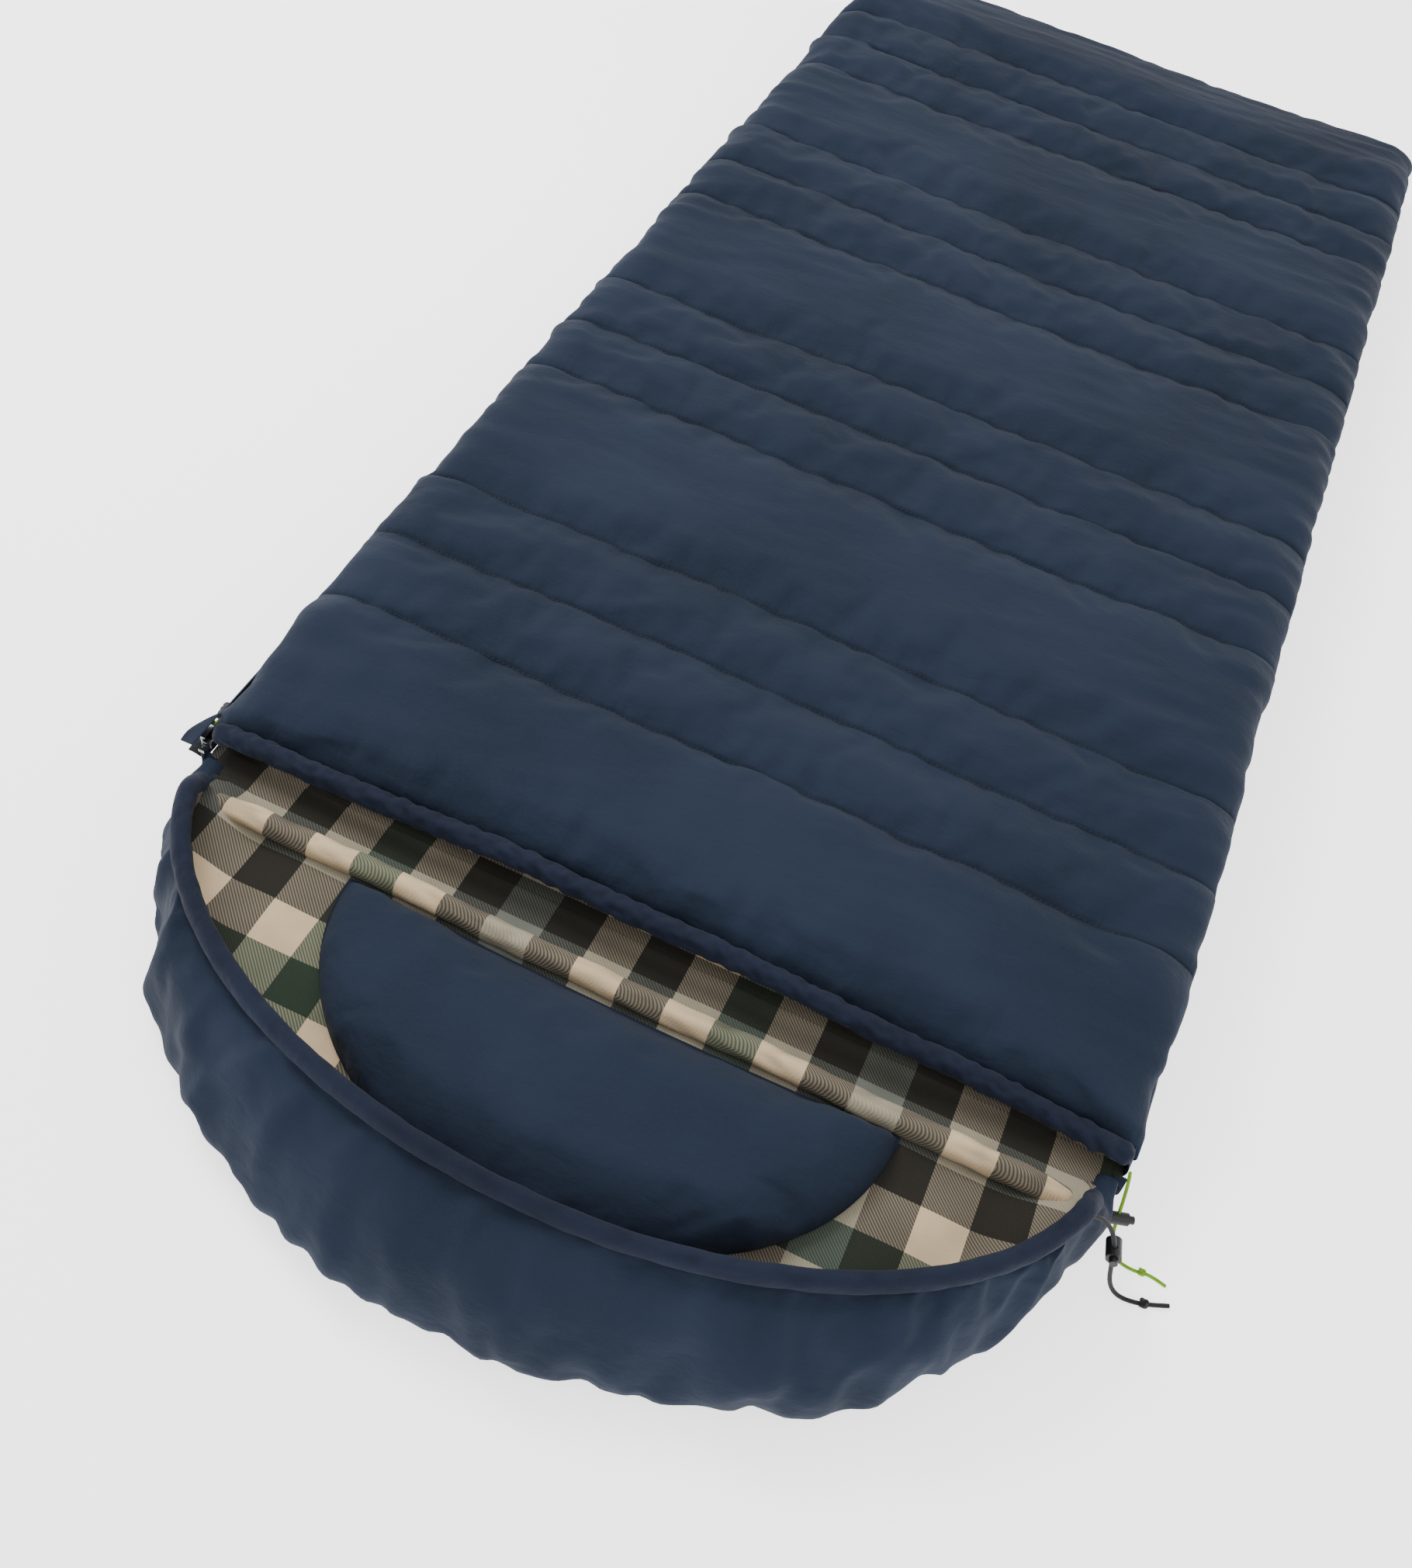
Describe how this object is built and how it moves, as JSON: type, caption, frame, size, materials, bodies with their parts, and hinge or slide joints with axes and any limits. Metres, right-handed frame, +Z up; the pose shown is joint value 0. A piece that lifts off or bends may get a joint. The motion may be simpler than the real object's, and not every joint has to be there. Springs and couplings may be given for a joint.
{
  "type": "rectangular sleeping bag",
  "caption": "Hooded rectangular sleeping bag, quilted and checked-flannel lined, with sewn-in pillow, two-way side and foot zip, and drawcords with locks at hood and opening.",
  "frame": {"origin": "on the ground under the middle of the bag", "axes": "+X to the folded side, -X to the zipped side, +Y to the foot, -Y to the hood, +Z up"},
  "size_m": [0.9664, 2.2077, 0.127],
  "materials": {
    "shell_fabric": "brushed microfibre",
    "flannel_lining": "brushed cotton check",
    "filling": "loose hollow fibre",
    "zip_tape": "woven tape",
    "zip_coil": "satin",
    "slider_metal": "satin black",
    "puller_plastic": "moulded matt",
    "lime_cord": "braided cord",
    "black_cord": "braided cord",
    "lock_plastic": "moulded",
    "spring_steel": "drawn wire",
    "label_weave": "satin woven",
    "hook_loop": "hook and loop"
  },
  "bodies": {
    "lower_quilt": {"lower_shell": "shell_fabric", "lower_fill": "filling", "lower_lining": "flannel_lining", "fold_strip_lower": "shell_fabric", "draft_tube": "flannel_lining", "zip_tape_lower": "zip_tape", "zip_coil_lower": "zip_coil", "zip_stop_lower": "slider_metal", "hook_patch": "hook_loop", "label_tab": "label_weave", "opening_cord_tail": "lime_cord", "opening_cord_knot": "lime_cord"},
    "upper_quilt": {"upper_shell": "shell_fabric", "upper_fill": "filling", "upper_lining": "flannel_lining", "opening_rim": "shell_fabric", "opening_cord_inner": "lime_cord", "fold_strip_upper": "shell_fabric", "zip_tape_upper": "zip_tape", "zip_coil_upper": "zip_coil", "zip_stops_upper": "slider_metal"},
    "hood": {"hood_shell": "shell_fabric", "hood_fill": "filling", "hood_lining": "flannel_lining", "brim_shell": "shell_fabric", "brim_fill": "filling", "brim_lining": "flannel_lining", "hood_rim": "shell_fabric", "hood_cord_inner": "black_cord", "pillow_cover": "shell_fabric", "pillow_fill": "filling", "neck_roll": "flannel_lining", "hood_cord_tail": "black_cord", "hood_cord_knot": "black_cord"},
    "head_slider": {"head_slider": "slider_metal"},
    "head_puller": {"head_pull_tab": "slider_metal", "head_pull_cord": "lime_cord", "head_pull_grip": "puller_plastic"},
    "foot_slider": {"foot_slider": "slider_metal"},
    "foot_puller": {"foot_pull_tab": "slider_metal", "foot_pull_cord": "lime_cord", "foot_pull_grip": "puller_plastic"},
    "garage_flap": {"garage_flap": "shell_fabric", "flap_patch": "hook_loop"},
    "barrel_lock": {"barrel_lock_housing": "lock_plastic", "barrel_lock_spring": "spring_steel"},
    "barrel_lock_button": {"barrel_lock_button": "lock_plastic"},
    "round_lock": {"round_lock_housing": "lock_plastic", "round_lock_spring": "spring_steel"},
    "round_lock_button": {"round_lock_button": "lock_plastic"}
  },
  "joints": [
    {"name": "upper_quilt_open", "type": "hinge", "parent": "lower_quilt", "child": "upper_quilt", "pos_m": [0.4406, 0, 0.0555], "axis": [0, 1, 0], "range_deg": [0, 180]},
    {"name": "hood_lift", "type": "hinge", "parent": "lower_quilt", "child": "hood", "pos_m": [0, -0.7573, 0.0503], "axis": [-1, 0, 0], "range_deg": [0, 60]},
    {"name": "head_slide", "type": "slide", "parent": "lower_quilt", "child": "head_slider", "axis": [0, 1, 0], "range_m": [0, 1.775]},
    {"name": "head_pull_swing", "type": "hinge", "parent": "head_slider", "child": "head_puller", "pos_m": [-0.4492, -0.741, 0.055], "axis": [0, 0, 1], "range_deg": [0, 170]},
    {"name": "foot_slide", "type": "slide", "parent": "lower_quilt", "child": "foot_slider", "axis": [-1, 0, 0], "range_m": [0, 0.76]},
    {"name": "foot_pull_swing", "type": "hinge", "parent": "foot_slider", "child": "foot_puller", "pos_m": [0.38, 1.1062, 0.055], "axis": [0, 0, 1], "range_deg": [0, 170]},
    {"name": "flap_lift", "type": "hinge", "parent": "upper_quilt", "child": "garage_flap", "pos_m": [-0.4409, 0, 0.074], "axis": [0, 1, 0], "range_deg": [0, 95]},
    {"name": "barrel_lock_slide", "type": "slide", "parent": "lower_quilt", "child": "barrel_lock", "axis": [0.1374, -0.5494, -0.8242], "range_m": [-0.004, 0.004]},
    {"name": "barrel_lock_press", "type": "slide", "parent": "barrel_lock", "child": "barrel_lock_button", "axis": [-0.9417, -0.3303, 0.0633], "range_m": [0, 0.002], "stiffness_N_per_m": 400, "deforming": ["barrel_lock_spring"]},
    {"name": "round_lock_slide", "type": "slide", "parent": "hood", "child": "round_lock", "axis": [0.2813, -0.1406, -0.9493], "range_m": [-0.002, 0.002]},
    {"name": "round_lock_press", "type": "slide", "parent": "round_lock", "child": "round_lock_button", "axis": [-0.1445, 0.9717, -0.1868], "range_m": [0, 0.002], "stiffness_N_per_m": 400, "deforming": ["round_lock_spring"]}
  ]
}
